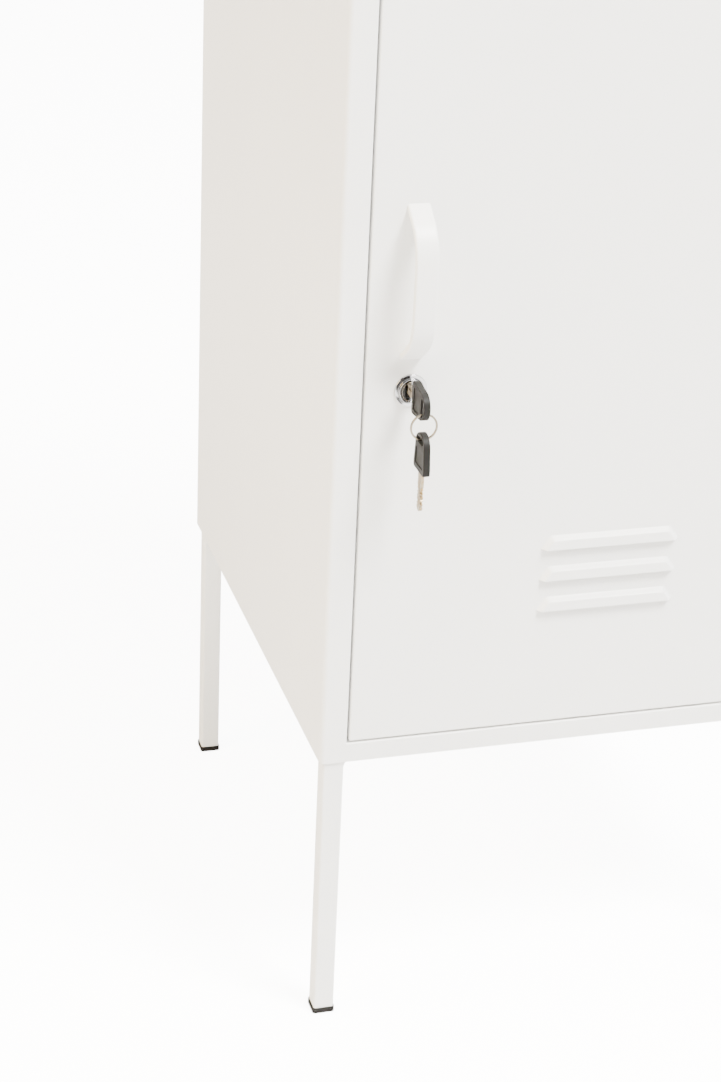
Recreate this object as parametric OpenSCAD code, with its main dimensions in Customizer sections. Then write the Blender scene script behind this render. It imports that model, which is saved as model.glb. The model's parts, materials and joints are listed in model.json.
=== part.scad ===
// Locker cabinet: a folded sheet-steel body on four square legs, one louvred door on pivot pins,
// a bow handle, and a cam lock with its key, a split ring and a spare key.
// Each module draws its piece in body coordinates: X from the left side, Y back from the front
// face, Z up from the body's lower edge. place() then moves it to the floor-centred frame.

/* [Body] */
// Overall width of the body
body_w = 405; // [340:1:600]
// Depth of the body, front face to back face
body_d = 410; // [320:1:600]
// Height of the body, without its legs
body_h = 736; // [600:1:1400]
// Thickness of the body's steel sheet
sheet_t = 0.8; // [0.7:0.1:1.2]
// Outer radius of the bends along the side panels
bend_r = 3.5; // [2.5:0.5:6]
// Width of the flanges that hold the back panel
rear_flange_w = 15; // [10:1:30]

/* [Front frame] */
// Width of the stile on each side of the door
stile_w = 19; // [18:0.5:30]
// Height of the rail above and below the door
rail_h = 14.7; // [12:0.1:30]
// Outer radius of the bends around the door opening
frame_r = 1.4; // [1.2:0.1:2]
// Width of the stop lip behind the door's free edge
stop_lip_w = 9; // [6:0.5:12]
// Gap all round the door
door_gap = 1.6; // [1.4:0.1:3]

/* [Legs] */
// Height of the body's lower edge above the floor
leg_h = 214; // [80:1:300]
// Outside of the square leg tube
leg_size = 15; // [14:0.5:25]
// Wall of the leg tube
leg_wall = 1.2; // [1:0.1:2]
// Outer corner radius of the leg tube
leg_corner_r = 1.6; // [1.3:0.1:2.5]
// From the body's side to the leg
leg_inset_x = 3; // [2.5:0.1:10]
// From the body's front face to the front legs
leg_inset_front = 1.5; // [1.3:0.1:10]
// From the body's back face to the rear legs
leg_inset_back = 6; // [4:0.1:20]
// How far the leg socket shows below the body
socket_drop = 5.8; // [2:0.1:10]
// Radius of the fillet between the socket and its flange, where the socket is deep enough for it
socket_fillet_r = 4.8; // [1:0.1:5]
// Thickness of the socket's flange
socket_flange_t = 2; // [1.5:0.1:3]
// Height of the foot cap that shows below the leg tube
foot_h = 4.3; // [2:0.1:8]
// How far the foot cap stands out round the leg tube
foot_lip = 0.8; // [0.1:0.1:1]
// Length of the foot cap's plug inside the tube
foot_plug_h = 14; // [8:1:30]
// Height of the threaded insert at the top of the leg
insert_h = 14; // [10:1:30]
// Diameter of the bolt that holds each leg
leg_bolt_d = 6; // [5:0.5:8]
// Across flats of the leg bolt's head
leg_bolt_af = 10; // [9:0.5:11]
// Height of the leg bolt's head
leg_bolt_head_h = 4; // [3:0.5:5]

/* [Door] */
// Depth of the door's folded edges
door_fold_d = 16; // [15.5:0.1:17]
// Width of the lips behind the door's side edges
door_lip_w = 12; // [8:0.5:14]
// Outer radius of the door's front edges
door_edge_r = 1.2; // [1:0.1:2]
// Width of the stiffening channel behind the door
stiffener_w = 30; // [20:1:50]
// Depth of the stiffening channel
stiffener_d = 12; // [8:1:14]
// From the right side of the body to the middle of the channel
stiffener_in = 104; // [75:1:150]
// Diameter of the rubber bumpers on the stop lip
bumper_d = 7; // [5:0.5:8]
// Thickness of the rubber bumpers
bumper_t = 1.1; // [0.8:0.1:3]
// From the door's upper and lower edges to the bumpers
bumper_in = 90; // [40:5:200]
// Air left between a bumper and the closed door
bumper_clear = 0.1; // [0.05:0.05:0.5]

/* [Louvres] */
// Length of a louvre along its open lower edge
louvre_len = 102; // [60:1:160]
// Height of a louvre
louvre_h = 10; // [8:0.5:16]
// How far a louvre stands out from the door
louvre_out = 4.2; // [3:0.1:6]
// How much shorter a louvre's top is at each end
louvre_taper = 7; // [3:0.5:12]
// From one louvre to the next
louvre_pitch = 23.5; // [16:0.5:40]
// Number of louvres in each group
louvre_count = 3; // [1:1:5]
// From the body's lower edge to the lowest louvre's lip
louvre_z = 106.4; // [60:0.1:150]

/* [Hinge] */
// Diameter of the pivot pins
hinge_pin_d = 5; // [4:0.5:6]
// Radial clearance between a pin and its bush
hinge_clear = 0.05; // [0.02:0.01:0.1]
// From the door's hinge edge to the pin
hinge_in_x = 12; // [10:0.5:16]
// From the door's face to the pin
hinge_in_y = 5.2; // [5:0.1:6]
// Wall of the nylon bush around the pin
bush_wall = 1.4; // [1:0.1:1.6]
// How far the pin reaches into the door
pin_reach = 12; // [8:1:25]
// Thickness of the plates that carry the pins
hinge_plate_t = 2; // [1.5:0.5:4]

/* [Handle] */
// From the left side of the body to the middle of the handle
handle_x = 50.8; // [45:0.1:70]
// From the body's lower edge to the handle's lower end
handle_z = 299; // [295:1:420]
// Length of the handle
handle_len = 105; // [90:1:160]
// Width of the handle
handle_w = 15.3; // [12:0.1:22]
// How far the handle stands out from the door
handle_out = 25.5; // [20:0.5:40]
// How far the grip bows out between its bends
handle_bow = 2.5; // [1:0.1:5]
// Thickness of the strap that the handle is bent from
handle_t = 4; // [3:0.1:6]
// Rise of each slanted end along the door
handle_slant = 16; // [12:0.5:24]
// Length of each of the strap's ends along the door
handle_foot = 5; // [4:0.5:8]
// From an end of the handle to the boss that takes its screw
handle_screw_in = 7.5; // [7:0.5:10]
// Diameter of the screw bosses behind the strap
handle_boss_d = 8; // [7:0.5:10]
// Diameter of the handle's screws
handle_screw_d = 4; // [3:0.5:5]

/* [Lock] */
// From the left side of the body to the lock's axis
lock_x = 51.5; // [48:0.1:60]
// From the body's lower edge to the lock's axis
lock_z = 277.6; // [240:0.1:280]
// Diameter of the lock's flange
flange_d = 22.3; // [21.5:0.1:26]
// Thickness of the lock's flange
flange_t = 1.5; // [1:0.1:3]
// Diameter of the raised ring on the flange
lock_ring_d = 17; // [16:0.1:18]
// How far the raised ring stands out from the door
lock_out = 3.6; // [2.5:0.1:6]
// Diameter of the lock's threaded barrel
barrel_d = 18.6; // [17:0.1:19]
// Diameter of the turning plug
plug_d = 13; // [12:0.1:14]
// Radial clearance between the plug and the barrel
plug_clear = 0.08; // [0.03:0.01:0.1]
// Thickness of the nut behind the door
nut_t = 4; // [3:0.5:6]
// Across flats of the nut
nut_af = 24; // [22:0.5:26]
// From the lock's axis to the cam's tip
cam_len = 41; // [38:0.5:43]
// Width of the cam
cam_w = 14; // [12:0.5:18]
// Thickness of the cam
cam_t = 2; // [1.5:0.1:3]
// Air between the cam and the stop lip that it passes behind
cam_clear = 1; // [0.6:0.1:2]
// Diameter of the screw that holds the cam
cam_screw_d = 4; // [3:0.5:5]

/* [Keys] */
// Length of the key's moulded head
head_len = 27; // [24:0.5:32]
// Width of the head beside the blade
head_w = 22.4; // [20:0.1:28]
// Radius of the head's round end
head_end_r = 9.6; // [9:0.1:11]
// Thickness of the head
head_t = 4.6; // [4:0.1:5]
// Length of the slot that the ring passes through
slot_len = 13; // [12:0.5:13.5]
// Width of that slot
slot_w = 3.6; // [3.2:0.1:4]
// From the head's round end to the middle of the slot
slot_in = 5.2; // [5:0.1:6]
// Length of the blade's tang inside the head
tang_len = 12; // [8:0.5:14]
// Height of the blade
blade_w = 7.4; // [6:0.1:8.5]
// Thickness of the blade
blade_t = 2; // [1.6:0.1:2.4]
// Clearance of the blade in the keyway, and of the tang in its pocket
blade_clear = 0.1; // [0.05:0.01:0.2]
// From the plug's face to the inserted key's head
head_gap = 7.4; // [4:0.1:9]
// Diameter of the split ring at the middle of its wire
ring_d = 17.4; // [17:0.1:22]
// Thickness of the ring's wire
ring_wire_d = 1.3; // [1:0.1:1.6]
// Air between the ring and the corners of what it hangs on
ring_clear = 0.12; // [0.1:0.01:0.4]

/* [Shelves] */
// Height of a shelf's folded edges
shelf_fold = 15; // [10:1:25]
// From the front face to the front edge of a shelf
shelf_front = 34; // [32:1:80]
// Air between a shelf and the strips beside it
shelf_clear = 1; // [0.5:0.1:3]
// Width of the slotted strips inside the sides
strip_w = 16; // [14:1:24]
// How far a strip stands off the side panel
strip_out = 5; // [4:0.5:8]
// From the front face or the back panel to the middle of a strip
strip_in = 60; // [45:1:90]
// Distance between the slots of a strip
strip_pitch = 25; // [20:1:50]
// Height of a slot
strip_slot_h = 8; // [6:0.5:12]
// Thickness of a shelf clip
clip_t = 1.5; // [1:0.1:2.5]
// How far a clip reaches under the shelf
clip_reach = 10; // [8:1:16]
// Width of a clip
clip_w = 5; // [4:0.5:6]

/* [Wall fixing] */
// Distance between the two holes in the back panel
fixing_pitch = 300; // [200:1:320]
// Diameter of each hole
fixing_hole_d = 6; // [5:0.5:8]
// From the body's top to the holes
fixing_drop = 60; // [40:1:120]

/* [Hidden] */
$fn = 64;
eps = 0.01;
paint = [0.90, 0.89, 0.86];
steel = [0.72, 0.73, 0.75];
chrome = [0.80, 0.81, 0.83];
black = [0.06, 0.06, 0.06];
nylon = [0.85, 0.85, 0.82];
nickel = [0.76, 0.70, 0.58];
// clearance that keeps a bolt, screw or plug off the hole it sits in
fit_clear = 0.05;
// how much wider than its bolt a leg's bolt hole is
bolt_play = 0.6;
// depth of the jamb behind each stile, so that the closed door just clears its bumpers
jamb_d = door_fold_d + bumper_clear + bumper_t + sheet_t;
// the door, its pivot and the frame behind it
door_x = stile_w + door_gap;
door_z = rail_h + door_gap;
door_w = body_w - 2 * door_x;
door_h = body_h - 2 * door_z;
pivot_x = body_w - door_x - hinge_in_x;
bush_r = hinge_pin_d / 2 + hinge_clear + bush_wall;
bush_flange_t = door_gap - 0.3;
bush_len = 8;
// the hinge plate's reach on each side of the pin, and the rivet head that holds the pin
plate_reach_in = 14;
plate_reach_out = 12;
rivet_d = hinge_pin_d + 2.5;
rivet_t = 1.5;
back_y = body_d - 2 * sheet_t;
fixing_z = body_h - fixing_drop;
// legs: the fillet ends a ledge above the socket's end and a ledge inside the flange's edge
fillet_ledge = 0.4;
fillet_r = min(socket_fillet_r, socket_drop - fillet_ledge);
// how far the fillet is sunk into the socket, and drawn in from the socket's rounded corners
fillet_in = leg_corner_r / 2;
leg_top = -socket_drop;
leg_foot = foot_h - leg_h;
leg_bolt_len = rail_h + socket_drop + insert_h - 2;
function leg_x(right) = right ? body_w - leg_inset_x - leg_size : leg_inset_x;
function leg_y(rear) = rear ? body_d - leg_inset_back - leg_size : leg_inset_front;
// handle screws: length in the boss, and the head behind the door
handle_screw_grip = 5;
screw_head_r = handle_screw_d;
screw_head_h = 2.4;
// lock
plug_face = -lock_out + 0.4;
cam_y = jamb_d + cam_clear;
cam_end_r = cam_w / 2;
// the barrel stops short of the cam, which turns behind it
barrel_len = cam_y - 1.2;
// keys: the ring turns about the bridge of plastic between the slot and the head's edge
head_y = plug_face - head_gap;
// length of the blade outside the head, which stops short of the cam's screw
blade_len = cam_y - 1.6 - head_y;
slot_at = head_len - slot_in;
slot_y = head_y - slot_at;
slot_half_w = sqrt(pow(head_end_r, 2) - pow(head_end_r - slot_in, 2));
bridge_w = slot_half_w - slot_len / 2;
bridge_mid = slot_len / 2 + bridge_w / 2;
ring_r = ring_d / 2;
ring_in_r = ring_r - ring_wire_d / 2 - ring_clear;
bridge_sum = head_t / 2 + bridge_w / 2;
bridge_sq = pow(head_t / 2, 2) + pow(bridge_w / 2, 2);
ring_hang = (sqrt(pow(bridge_sum, 2) - 2 * (bridge_sq - pow(ring_in_r, 2))) - bridge_sum) / sqrt(2);
ring_z = lock_z - bridge_mid - ring_hang;
spare_pivot_z = ring_z - ring_r;
spare_slot_drop = slot_w / 2 - ring_wire_d / 2 - 0.6;
spare_slot_z = spare_pivot_z - spare_slot_drop;
// the object is centred front to back with the spare key, which reaches farthest forward
front_reach = max(handle_out, -slot_y + head_w / 2, -head_y + head_len);
front_y = (front_reach - body_d) / 2;
// shelves: two, each on four clips, in slots of the strips that divide the height evenly
shelf_count = 2;
// how far a clip's tab hangs down over the front of its slot
clip_tab = 4;
strip_front_y = strip_in;
strip_rear_y = back_y - strip_in;
shelf_side = sheet_t + strip_out + shelf_clear;
shelf_w = body_w - 2 * shelf_side;
shelf_d = back_y - sheet_t - 1 - shelf_front;
strip_low = rail_h + 20;
strip_slots = floor((body_h - 2 * strip_low) / strip_pitch) - 1;
function shelf_slot(i) = round((i + 1) * strip_slots / (shelf_count + 1));
function slot_z(k) = strip_low + strip_pitch * (k + 0.5);
function shelf_z(i) = slot_z(shelf_slot(i)) + clip_t;

// ---- helpers ----
module place() {
    translate([-body_w / 2, front_y, leg_h]) children();
}

// 2D waste outside a rounded corner at the origin, which opens towards +X +Y
module corner_waste(r) {
    difference() {
        translate([-eps, -eps]) square(r + eps);
        translate([r, r]) circle(r = r);
    }
}

// 2D rectangle whose corners have their own radii: [low-low, high-low, low-high, high-high]
module soft_rect(w, h, r) {
    difference() {
        square([w, h]);
        if (r[0] > 0) corner_waste(r[0]);
        if (r[1] > 0) translate([w, 0]) mirror([1, 0]) corner_waste(r[1]);
        if (r[2] > 0) translate([0, h]) mirror([0, 1]) corner_waste(r[2]);
        if (r[3] > 0) translate([w, h]) mirror([1, 0]) mirror([0, 1]) corner_waste(r[3]);
    }
}

// extrudes a (Y, Z) outline along X
module along_x(x, len) {
    translate([x, 0, 0]) rotate([90, 0, 90]) linear_extrude(len) children();
}

// a cylinder along +Y from y
module rod_y(x, y, z, r, len) {
    translate([x, y, z]) rotate([-90, 0, 0]) cylinder(r = r, h = len);
}

module mirror_x() {
    translate([body_w, 0, 0]) mirror([1, 0, 0]) children();
}

// ---- body ----
// the folded section of a side panel; the stop lip is only on the lock side
module side_section(with_jamb, with_lip) {
    t = sheet_t;
    corner = with_jamb ? frame_r : 0;
    difference() {
        soft_rect(stile_w, body_d, [bend_r, corner, bend_r, 0]);
        translate([t, t])
            soft_rect(stile_w - t - (with_jamb ? t : -1), body_d - 2 * t,
                [bend_r - t, with_jamb ? frame_r - t : 0, bend_r - t, 0]);
        translate([t + bend_r, jamb_d]) square([stile_w, body_d - jamb_d - t]);
        translate([rear_flange_w, body_d - 2 * t]) square([stile_w, 3 * t]);
    }
    if (with_lip) translate([stile_w - t, jamb_d - t]) square([stop_lip_w + t, t]);
}

module side_panel(with_lip) {
    linear_extrude(rail_h) side_section(false, false);
    translate([0, 0, rail_h]) linear_extrude(body_h - 2 * rail_h) side_section(true, with_lip);
    translate([0, 0, body_h - rail_h]) linear_extrude(rail_h) side_section(false, false);
}

module left_side_panel() {
    color(paint) place() side_panel(true);
}

module right_side_panel() {
    color(paint) place() mirror_x() side_panel(false);
}

module back_panel() {
    color(paint) place() difference() {
        translate([bend_r, back_y, 0]) cube([body_w - 2 * bend_r, sheet_t, body_h]);
        for (s = [-1, 1])
            rod_y(body_w / 2 + s * fixing_pitch / 2, back_y - 1, fixing_z, fixing_hole_d / 2, sheet_t + 2);
    }
}

// a tray that opens downwards: a flat sheet with a lip at the front, the back and both sides
module tray() {
    t = sheet_t;
    intersection() {
        inside_bends(rail_h);
        along_x(t, body_w - 2 * t) difference() {
            soft_rect(back_y, rail_h, [0, 0, frame_r, 0]);
            translate([t, -1]) soft_rect(back_y - 2 * t, rail_h - t + 1, [0, 0, frame_r - t, 0]);
        }
    }
    for (x = [t, body_w - 2 * t]) translate([x, bend_r, 0]) cube([t, back_y - 2 * bend_r, rail_h - t / 2]);
}

// the space between the side panels and their bends
module inside_bends(height) {
    t = sheet_t;
    r = bend_r - t + 0.3;
    linear_extrude(height) {
        translate([t, t]) soft_rect(body_w - 2 * t, body_d - 2 * t, [r, r, r, r]);
        translate([stile_w, 0]) square([body_w - 2 * stile_w, 2 * t]);
    }
}

module base_pan() {
    color(paint) place() difference() {
        tray();
        for (right = [0, 1], rear = [0, 1])
            translate([leg_x(right) + leg_size / 2, leg_y(rear) + leg_size / 2, 0])
                cylinder(d = leg_bolt_d + bolt_play, h = rail_h + 1);
        translate([pivot_x, hinge_in_y, rail_h / 2]) cylinder(d = hinge_pin_d + 2 * fit_clear, h = rail_h);
    }
}

// the tray upside down over the door, with a flange behind its front lip that carries the pin
module top_panel() {
    t = sheet_t;
    color(paint) place() difference() {
        union() {
            translate([0, 0, body_h - rail_h]) difference() {
                tray();
                translate([stile_w, -1, -1]) cube([body_w - 2 * stile_w, frame_r + 1, rail_h + 2]);
            }
            along_x(stile_w, body_w - 2 * stile_w) translate([0, body_h - rail_h]) difference() {
                soft_rect(jamb_d, rail_h, [frame_r, 0, frame_r, 0]);
                translate([t, t]) soft_rect(jamb_d, rail_h - 2 * t, [frame_r - t, 0, frame_r - t, 0]);
            }
        }
        translate([pivot_x, hinge_in_y, body_h - rail_h - 1])
            cylinder(d = hinge_pin_d + 2 * fit_clear, h = t + 2);
    }
}

// ---- legs ----
// 2D section of the leg, filled
module leg_square(inset) {
    r = leg_corner_r - inset * 0.8;
    side = leg_size - 2 * inset;
    translate([inset, inset]) soft_rect(side, side, [r, r, r, r]);
}

module leg_socket(right, rear) {
    x = leg_x(right);
    y = leg_y(rear);
    reach = fillet_r + fillet_ledge;
    flange_x = right ? x - reach : 2 * sheet_t;
    flange_y = rear ? y - reach : sheet_t;
    flange_w = leg_inset_x + leg_size + reach - 2 * sheet_t;
    flange_d = rear ? back_y - sheet_t - flange_y : leg_inset_front + leg_size + reach - sheet_t;
    fillet_x = right ? x : x + leg_size;
    fillet_y = rear ? y : y + leg_size;
    color(paint) place() difference() {
        union() {
            translate([x, y, leg_top]) linear_extrude(rail_h - sheet_t + socket_drop) leg_square(0);
            intersection() {
                translate([flange_x, flange_y, 0]) cube([flange_w, flange_d, socket_flange_t]);
                inside_bends(socket_flange_t);
            }
            translate([fillet_x, y + fillet_in, 0]) rotate([90, 0, 0]) mirror([right ? 1 : 0, 0, 0])
                mirror([0, 0, 1]) linear_extrude(leg_size - 2 * fillet_in) socket_fillet();
            translate([x + fillet_in, fillet_y, 0]) rotate([90, 0, 90]) mirror([rear ? 1 : 0, 0, 0])
                linear_extrude(leg_size - 2 * fillet_in) socket_fillet();
        }
        translate([x + leg_size / 2, y + leg_size / 2, leg_top - 1])
            cylinder(d = leg_bolt_d + bolt_play, h = rail_h + socket_drop + 2);
    }
}

// 2D fillet that spreads upwards from the socket's face to its flange
module socket_fillet() {
    translate([-fillet_in, -fillet_r]) difference() {
        square([fillet_r + fillet_in, fillet_r + eps]);
        translate([fillet_r + fillet_in, 0]) circle(r = fillet_r);
    }
}

module leg(right, rear) {
    color(paint) place() translate([leg_x(right), leg_y(rear), leg_foot]) linear_extrude(leg_top - leg_foot)
        difference() {
            leg_square(0);
            leg_square(leg_wall);
        }
}

module foot_cap(right, rear) {
    color(black) place() translate([leg_x(right), leg_y(rear), -leg_h]) {
        linear_extrude(foot_h) leg_square(-foot_lip);
        linear_extrude(foot_h + foot_plug_h) leg_square(leg_wall + fit_clear);
    }
}

module leg_inserts() {
    color(steel) for (right = [0, 1], rear = [0, 1])
        place() translate([leg_x(right), leg_y(rear), leg_top - insert_h]) difference() {
            linear_extrude(insert_h) leg_square(leg_wall + fit_clear);
            translate([leg_size / 2, leg_size / 2, -1])
                cylinder(d = leg_bolt_d + 2 * fit_clear, h = insert_h + 2);
        }
}

module leg_bolts() {
    color(steel) for (right = [0, 1], rear = [0, 1])
        place() translate([leg_x(right) + leg_size / 2, leg_y(rear) + leg_size / 2, rail_h]) {
            translate([0, 0, -leg_bolt_len]) cylinder(d = leg_bolt_d, h = leg_bolt_len + 1);
            cylinder(d = leg_bolt_af / cos(30), h = leg_bolt_head_h, $fn = 6);
        }
}

// ---- shelves ----
module shelf_strip(right, rear) {
    y = rear ? strip_rear_y : strip_front_y;
    x = right ? body_w - sheet_t : sheet_t;
    len = body_h - 2 * strip_low;
    slot_w_clip = clip_w + 0.6;
    color(paint) place() translate([x, y - strip_w / 2, strip_low]) mirror([right ? 1 : 0, 0, 0])
        difference() {
            linear_extrude(len) difference() {
                square([strip_out, strip_w]);
                translate([-1, sheet_t]) square([strip_out - sheet_t + 1, strip_w - 2 * sheet_t]);
            }
            for (k = [0 : strip_slots - 1])
                translate([0, (strip_w - slot_w_clip) / 2, slot_z(k) - strip_low])
                    cube([strip_out + 1, slot_w_clip, strip_slot_h]);
        }
}

// each clip hooks into a slot and turns out under the shelf
module shelf_clips() {
    hook = strip_out - sheet_t - 0.5;
    color(steel) for (i = [0 : shelf_count - 1], right = [0, 1], rear = [0, 1]) {
        y = rear ? strip_rear_y : strip_front_y;
        place() translate([right ? body_w - sheet_t : sheet_t, y - clip_w / 2, slot_z(shelf_slot(i))])
            mirror([right ? 1 : 0, 0, 0]) {
                translate([strip_out - sheet_t - hook + 0.2, 0, 0])
                    cube([hook + sheet_t + clip_reach - 0.2, clip_w, clip_t]);
                translate([strip_out, 0, -clip_tab]) cube([clip_t, clip_w, clip_tab + eps]);
            }
    }
}

// a tray open downwards, with a lip turned in along each side for the clips to carry
module shelf(i) {
    t = sheet_t;
    lip = clip_reach + 4;
    color(paint) place() translate([shelf_side, shelf_front, shelf_z(i)]) {
        difference() {
            cube([shelf_w, shelf_d, shelf_fold]);
            translate([t, t, -1]) cube([shelf_w - 2 * t, shelf_d - 2 * t, shelf_fold - t + 1]);
        }
        for (x = [0, shelf_w - lip]) translate([x, 0, 0]) cube([lip, shelf_d, t]);
    }
}

// ---- hinge ----
module hinge_plate(z) {
    front = frame_r + 0.2;
    color(steel) place() difference() {
        translate([pivot_x - plate_reach_in, front, z])
            cube([plate_reach_in + plate_reach_out, jamb_d - 2 - front, hinge_plate_t]);
        translate([pivot_x, hinge_in_y, z - 1])
            cylinder(d = hinge_pin_d + 2 * fit_clear, h = hinge_plate_t + 2);
    }
}

// a headed pin; up is 1 for the lower pin, which points up, and -1 for the upper one
module hinge_pin(z, up) {
    back = hinge_plate_t + sheet_t + rivet_t;
    color(steel) place() translate([pivot_x, hinge_in_y, z]) mirror([0, 0, up > 0 ? 0 : 1]) {
        translate([0, 0, -back]) cylinder(d = hinge_pin_d, h = back + door_gap + pin_reach);
        translate([0, 0, -back]) cylinder(d = rivet_d, h = rivet_t);
    }
}

module hinge_bush(z, up) {
    color(nylon) place() translate([pivot_x, hinge_in_y, z]) mirror([0, 0, up > 0 ? 0 : 1]) difference() {
        union() {
            translate([0, 0, -bush_flange_t]) cylinder(r = bush_r, h = bush_flange_t + bush_len);
            translate([0, 0, -bush_flange_t]) cylinder(r = bush_r + 0.7, h = bush_flange_t);
        }
        translate([0, 0, -bush_flange_t - 1]) cylinder(d = hinge_pin_d + 2 * hinge_clear, h = bush_len + 10);
    }
}

module door_bumpers() {
    color(black) place() for (z = [door_z + bumper_in, door_z + door_h - bumper_in])
        rod_y(stile_w + stop_lip_w / 2, door_fold_d + bumper_clear, z, bumper_d / 2, bumper_t);
}

// ---- door ----
// a louvre's hood, or the hollow under it when inset is the sheet's thickness
module louvre_form(inset) {
    out = louvre_out - inset;
    top = louvre_h - inset;
    half = louvre_len / 2 - inset * 1.2;
    low = inset > 0 ? -1 : 0;
    back = inset > 0 ? 3 : sheet_t / 2;
    intersection() {
        along_x(-half, 2 * half) translate([-out, low])
            soft_rect(out + back, top - low, [0, 0, out * 0.8, 0]);
        translate([0, 0, low]) linear_extrude(top - low)
            polygon([[-half, back], [-half, 0], [louvre_out - half, -out], [half - louvre_out, -out],
                [half, 0], [half, back]]);
        rotate([90, 0, 0]) translate([0, 0, -back - 1]) linear_extrude(louvre_out + back + 2)
            polygon([[-half, low], [half, low], [half, 0], [half - louvre_taper, top],
                [louvre_taper - half, top], [-half, 0]]);
    }
}

module at_louvres() {
    top_group = body_h - louvre_z - (louvre_count - 1) * louvre_pitch - louvre_h;
    for (z = [louvre_z, top_group], k = [0 : louvre_count - 1])
        translate([body_w / 2, 0, z + k * louvre_pitch]) children();
}

// the door's box between its front edges, drawn in by inset and open at the back
module door_box(inset) {
    r = door_edge_r - inset * 0.9;
    w = door_w - 2 * inset;
    h = door_h - 2 * inset;
    deep = inset > 0 ? door_fold_d : door_fold_d - inset;
    intersection() {
        translate([door_x + inset, inset, door_z + inset]) linear_extrude(h) soft_rect(w, deep, [r, r, 0, 0]);
        along_x(door_x + inset, w) translate([inset, door_z + inset]) soft_rect(deep, h, [r, 0, r, 0]);
    }
}

module door_skin() {
    t = sheet_t;
    color(paint) place() difference() {
        union() {
            difference() {
                door_box(0);
                door_box(t);
            }
            for (x = [door_x, body_w - door_x - door_lip_w])
                translate([x, door_fold_d - t, door_z]) cube([door_lip_w, t, door_h]);
            at_louvres() louvre_form(0);
        }
        at_louvres() louvre_form(t);
        rod_y(lock_x, -1, lock_z, barrel_d / 2 + fit_clear, t + 2);
        for (z = [handle_screw_in, handle_len - handle_screw_in])
            rod_y(handle_x, -1, handle_z + z, handle_screw_d / 2 + 0.2, t + 2);
        for (z = [door_z - 1, door_z + door_h - t - 1])
            translate([pivot_x, hinge_in_y, z]) cylinder(r = bush_r + fit_clear, h = t + 2);
    }
}

module door_stiffener() {
    t = sheet_t;
    flange = 10;
    gap = 1;
    color(paint) place()
        translate([body_w - stiffener_in - stiffener_w / 2 - flange, t, door_z + t + gap])
            linear_extrude(door_h - 2 * t - 2 * gap) difference() {
                union() {
                    square([stiffener_w + 2 * flange, t]);
                    translate([flange, 0]) soft_rect(stiffener_w, stiffener_d, [0, 0, 1.5, 1.5]);
                }
                translate([flange + t, -1])
                    soft_rect(stiffener_w - 2 * t, stiffener_d - t + 1, [0, 0, 0.7, 0.7]);
            }
}

// ---- handle ----
// (Y, Z) outline of the bow: slanted ends joined by a grip that is an arc
module bow_outline() {
    chord = handle_len / 2 - handle_slant;
    bow_r = (pow(chord, 2) + pow(handle_bow, 2)) / (2 * handle_bow);
    bend_y = -(handle_out - handle_bow);
    polygon([[0, 0], [bend_y, handle_slant], [bend_y, handle_len - handle_slant], [0, handle_len]]);
    intersection() {
        translate([bow_r - handle_out, handle_len / 2]) circle(r = bow_r, $fn = 256);
        translate([-handle_out - 1, handle_slant]) square([handle_bow + 2, 2 * chord]);
    }
}

// 2D hollow behind the strap, whose ends run parallel to the outside
module bow_hollow() {
    inner_y = -(handle_out - handle_bow - handle_t);
    slope = handle_slant / (handle_out - handle_bow);
    low_z = handle_foot - slope;
    inner_z = handle_foot - inner_y * slope;
    polygon([[1, low_z], [inner_y, inner_z], [inner_y, handle_len - inner_z], [1, handle_len - low_z]]);
}

module handle() {
    color(paint) place() difference() {
        union() {
            translate([0, 0, handle_z]) along_x(handle_x - handle_w / 2, handle_w) difference() {
                bow_outline();
                bow_hollow();
            }
            intersection() {
                translate([0, 0, handle_z]) along_x(handle_x - handle_w / 2, handle_w) bow_outline();
                for (z = [handle_screw_in, handle_len - handle_screw_in])
                    rod_y(handle_x, -handle_out / 2, handle_z + z, handle_boss_d / 2, handle_out / 2);
            }
        }
        for (z = [handle_screw_in, handle_len - handle_screw_in])
            rod_y(handle_x, -handle_screw_grip - 0.5, handle_z + z, handle_screw_d / 2 + fit_clear,
                handle_screw_grip + 1);
    }
}

module handle_screws() {
    grip = handle_screw_grip;
    color(steel) place() for (z = [handle_screw_in, handle_len - handle_screw_in]) difference() {
        union() {
            rod_y(handle_x, -grip, handle_z + z, handle_screw_d / 2, grip + sheet_t + 1);
            rod_y(handle_x, sheet_t, handle_z + z, screw_head_r, screw_head_h);
        }
        translate([handle_x, sheet_t + screw_head_h - 1, handle_z + z]) cross_recess(6, 1);
    }
}

// a driver's cross, cut back from y = 0
module cross_recess(span, w) {
    translate([-w / 2, 0, -span / 2]) cube([w, 2, span]);
    translate([-span / 2, 0, -w / 2]) cube([span, 2, w]);
}

// ---- lock ----
module lock_barrel() {
    color(chrome) place() difference() {
        union() {
            rod_y(lock_x, -flange_t, lock_z, flange_d / 2, flange_t);
            rod_y(lock_x, -lock_out, lock_z, lock_ring_d / 2, lock_out);
            rod_y(lock_x, -eps, lock_z, barrel_d / 2, barrel_len);
        }
        rod_y(lock_x, -lock_out - 1, lock_z, plug_d / 2 + plug_clear, barrel_len + lock_out + 2);
    }
}

module lock_nut() {
    color(steel) place() difference() {
        translate([lock_x, sheet_t, lock_z]) rotate([-90, 0, 0])
            cylinder(d = nut_af / cos(30), h = nut_t, $fn = 6);
        rod_y(lock_x, 0, lock_z, barrel_d / 2 + fit_clear, nut_t + 2);
    }
}

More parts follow.
